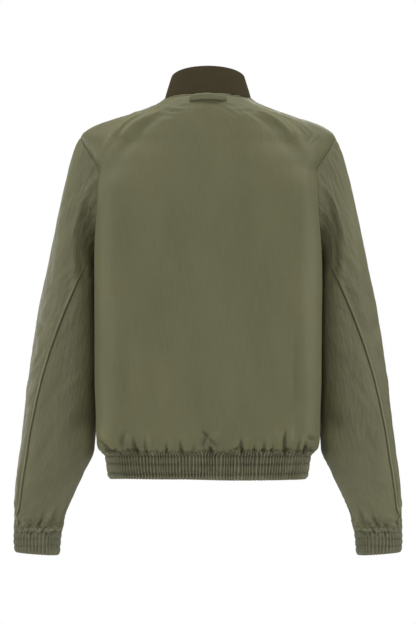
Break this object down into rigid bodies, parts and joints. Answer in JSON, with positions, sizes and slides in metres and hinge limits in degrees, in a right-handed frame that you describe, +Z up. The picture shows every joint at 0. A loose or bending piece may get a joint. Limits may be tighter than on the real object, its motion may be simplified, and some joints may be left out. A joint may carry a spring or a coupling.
{
  "type": "bomber jacket",
  "caption": "Bomber jacket in its hollow worn form, with a rib-knit stand collar, panelled sleeves, gathered cuffs and hem band, a locker loop and a closed front zip.",
  "frame": {"origin": "middle of the neck opening, level with the neck seam at the shoulders, where the wearer holds the jacket up", "axes": "+Z up along the wearer's spine, +Y to the wearer's front, +X to the wearer's right"},
  "size_m": [0.6076, 0.224, 0.7539],
  "materials": {
    "cloth": "thin plain-woven nylon, olive, crinkled, with a slight sheen",
    "rib_knit": "fine rib knit, dark brown, matt",
    "tape": "woven tape, olive, matt",
    "metal": "dark antique brass, satin"
  },
  "bodies": {
    "jacket": {"back": "cloth", "front_right": "cloth", "front_left": "cloth", "sleeve_top_right": "cloth", "sleeve_top_left": "cloth", "sleeve_under_right": "cloth", "sleeve_under_left": "cloth", "cuff_right": "cloth", "cuff_left": "cloth", "hem_band": "cloth", "collar": "rib_knit", "neck_loop": "tape", "zip_tape_right": "tape", "zip_tape_left": "tape", "zip_teeth": "metal", "zip_slider": "metal"},
    "pull_tab": {"zip_pull": "metal"}
  },
  "joints": [
    {"name": "pull_tab_swing", "type": "hinge", "parent": "jacket", "child": "pull_tab", "pos_m": [0, 0.06717, -0.07155], "axis": [1, 0, 0], "range_deg": [0, 140]}
  ]
}
